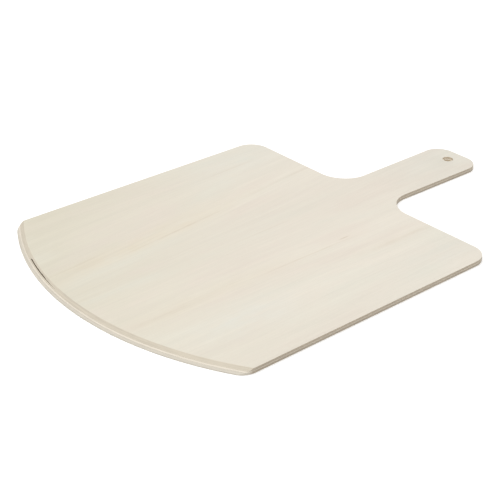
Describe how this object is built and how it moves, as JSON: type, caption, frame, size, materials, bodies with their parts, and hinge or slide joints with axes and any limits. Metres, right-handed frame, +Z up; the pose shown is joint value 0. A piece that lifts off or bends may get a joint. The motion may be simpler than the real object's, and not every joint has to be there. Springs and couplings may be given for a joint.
{
  "type": "pizza peel",
  "caption": "Flat plywood pizza peel with a wide blade, a bowed and bevelled front edge, and a short handle with a hanging hole.",
  "frame": {"origin": "under the middle of the peel, on the face that it rests on: midway across the blade, and midway between the foremost point of the front edge and the end of the handle", "axes": "+Z up out of the face that carries the food, +Y along the handle towards its end, -Y towards the bevelled front edge, +X across the blade"},
  "size_m": [0.305, 0.46, 0.005],
  "materials": {
    "face_veneer": "bare sanded pale veneer, grain along the handle",
    "core_veneer": "bare sanded pale veneer, grain across the blade",
    "glue": "cured wood glue, seen only as a hairline at the edges"
  },
  "bodies": {
    "root": {"bottom_face_ply": "face_veneer", "lower_glue_line": "glue", "core_ply": "core_veneer", "upper_glue_line": "glue", "top_face_ply": "face_veneer"}
  },
  "joints": []
}
